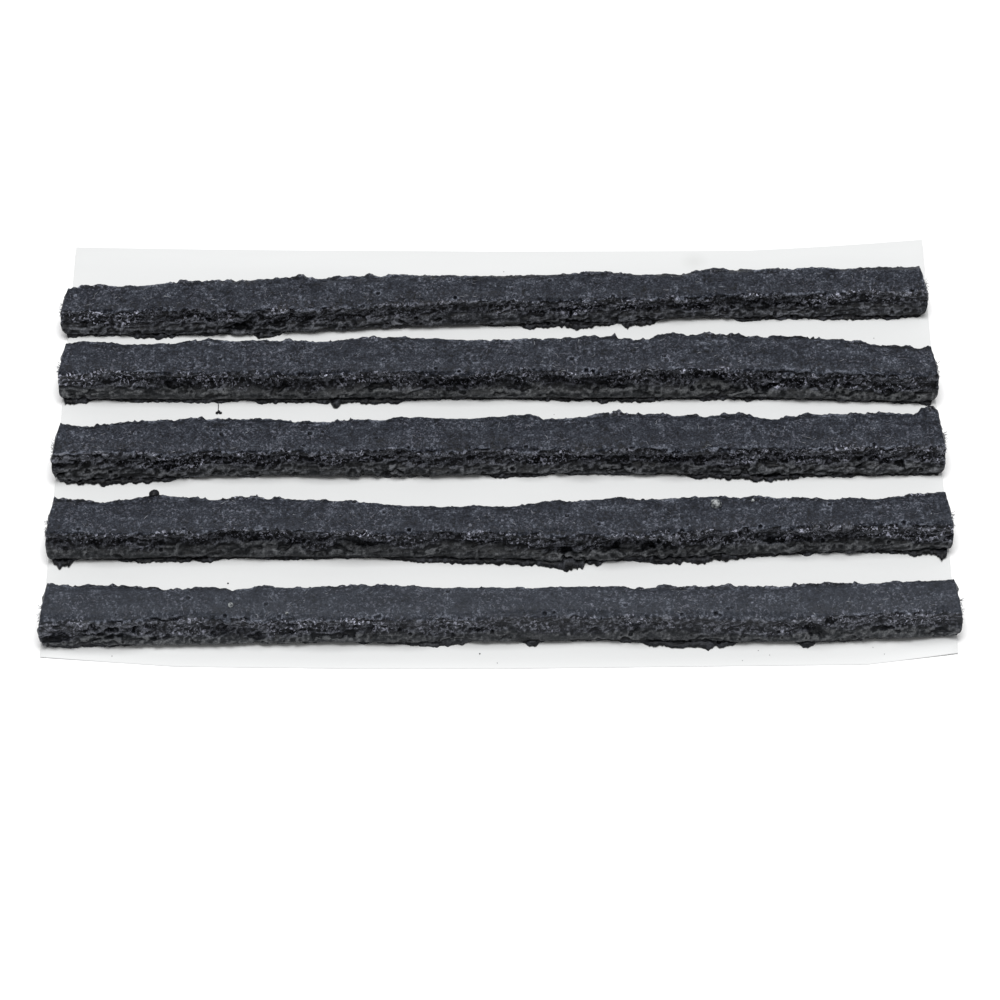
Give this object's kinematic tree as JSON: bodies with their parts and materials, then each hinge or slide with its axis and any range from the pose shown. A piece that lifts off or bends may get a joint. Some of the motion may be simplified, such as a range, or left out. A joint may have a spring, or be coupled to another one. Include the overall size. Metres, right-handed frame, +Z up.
{
  "type": "tyre repair plug strips on release film",
  "caption": "Soft tyre repair plug strips, tarry rubber round twisted yarns, lying side by side on the pale release film they peel off to be pushed into a punctured tubeless tyre.",
  "frame": {"origin": "on the table under the middle of the film, at the centre of the whole set's outline", "axes": "+X along the plugs, to the right; +Y across the film, from its near edge by plug_5 to its far edge by plug_1; +Z up"},
  "size_m": [0.1009, 0.0648, 0.0052],
  "materials": {
    "film": "thin translucent polyethylene, satin",
    "rubber": "uncured, tacky, matte with a fine grain",
    "yarn": "twisted fibres soaked with rubber"
  },
  "bodies": {
    "film": {"release_film": "film"},
    "plug_1": {"plug_1_rubber": "rubber", "plug_1_yarn_1": "yarn", "plug_1_yarn_2": "yarn", "plug_1_yarn_3": "yarn", "plug_1_yarn_4": "yarn"},
    "plug_2": {"plug_2_rubber": "rubber", "plug_2_yarn_1": "yarn", "plug_2_yarn_2": "yarn", "plug_2_yarn_3": "yarn", "plug_2_yarn_4": "yarn"},
    "plug_3": {"plug_3_rubber": "rubber", "plug_3_yarn_1": "yarn", "plug_3_yarn_2": "yarn", "plug_3_yarn_3": "yarn", "plug_3_yarn_4": "yarn"},
    "plug_4": {"plug_4_rubber": "rubber", "plug_4_yarn_1": "yarn", "plug_4_yarn_2": "yarn", "plug_4_yarn_3": "yarn", "plug_4_yarn_4": "yarn"},
    "plug_5": {"plug_5_rubber": "rubber", "plug_5_yarn_1": "yarn", "plug_5_yarn_2": "yarn", "plug_5_yarn_3": "yarn", "plug_5_yarn_4": "yarn"}
  },
  "joints": [
    {"name": "plug_1_lift", "type": "slide", "parent": "film", "child": "plug_1", "axis": [0, 0, 1], "range_m": [0, 0.03]},
    {"name": "plug_2_lift", "type": "slide", "parent": "film", "child": "plug_2", "axis": [0, 0, 1], "range_m": [0, 0.03]},
    {"name": "plug_3_lift", "type": "slide", "parent": "film", "child": "plug_3", "axis": [0, 0, 1], "range_m": [0, 0.03]},
    {"name": "plug_4_lift", "type": "slide", "parent": "film", "child": "plug_4", "axis": [0, 0, 1], "range_m": [0, 0.03]},
    {"name": "plug_5_lift", "type": "slide", "parent": "film", "child": "plug_5", "axis": [0, 0, 1], "range_m": [0, 0.03]}
  ]
}
